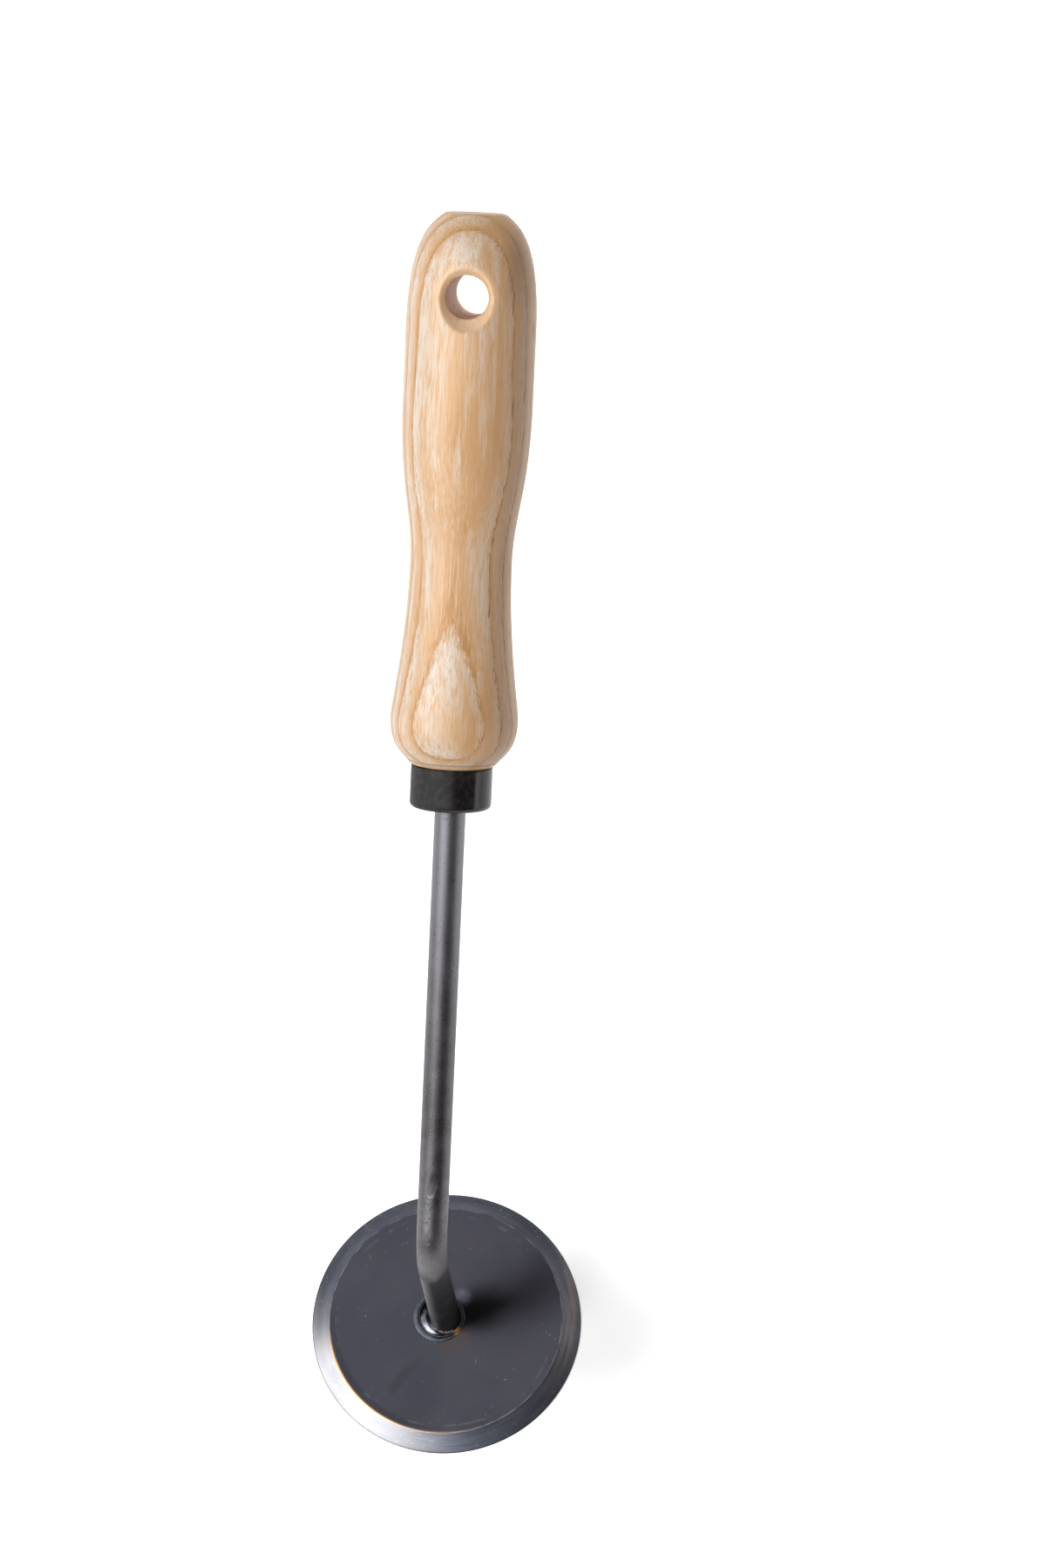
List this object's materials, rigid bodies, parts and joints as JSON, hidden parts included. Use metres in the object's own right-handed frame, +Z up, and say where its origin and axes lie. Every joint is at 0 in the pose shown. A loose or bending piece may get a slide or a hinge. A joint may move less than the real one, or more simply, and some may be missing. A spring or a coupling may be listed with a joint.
{
  "type": "disc weeder",
  "caption": "Hand weeder with a flat round bevelled blade welded to a bent round rod, a short cup ferrule and a turned wooden handle with a hanging hole.",
  "frame": {"origin": "centre of the flat underside of the round blade", "axes": "+Z up out of the blade's upper face, +Y the way that the handle rises, +X across the tool, to the right when looking from the blade towards the handle; X = 0 is the plane of the rod and the handle"},
  "size_m": [0.073, 0.2675, 0.211],
  "materials": {
    "ash_wood": "sanded ash, lightly oiled",
    "black_lacquer": "satin black lacquer, lightly scuffed",
    "shank_steel": "mill scale under clear lacquer, satin",
    "blade_steel": "blue-grey plate with a ground bevel",
    "weld_metal": "smooth weld metal"
  },
  "bodies": {
    "root": {"handle": "ash_wood", "ferrule": "black_lacquer", "shank": "shank_steel", "disc_blade": "blade_steel", "weld_bead": "weld_metal"}
  },
  "joints": []
}
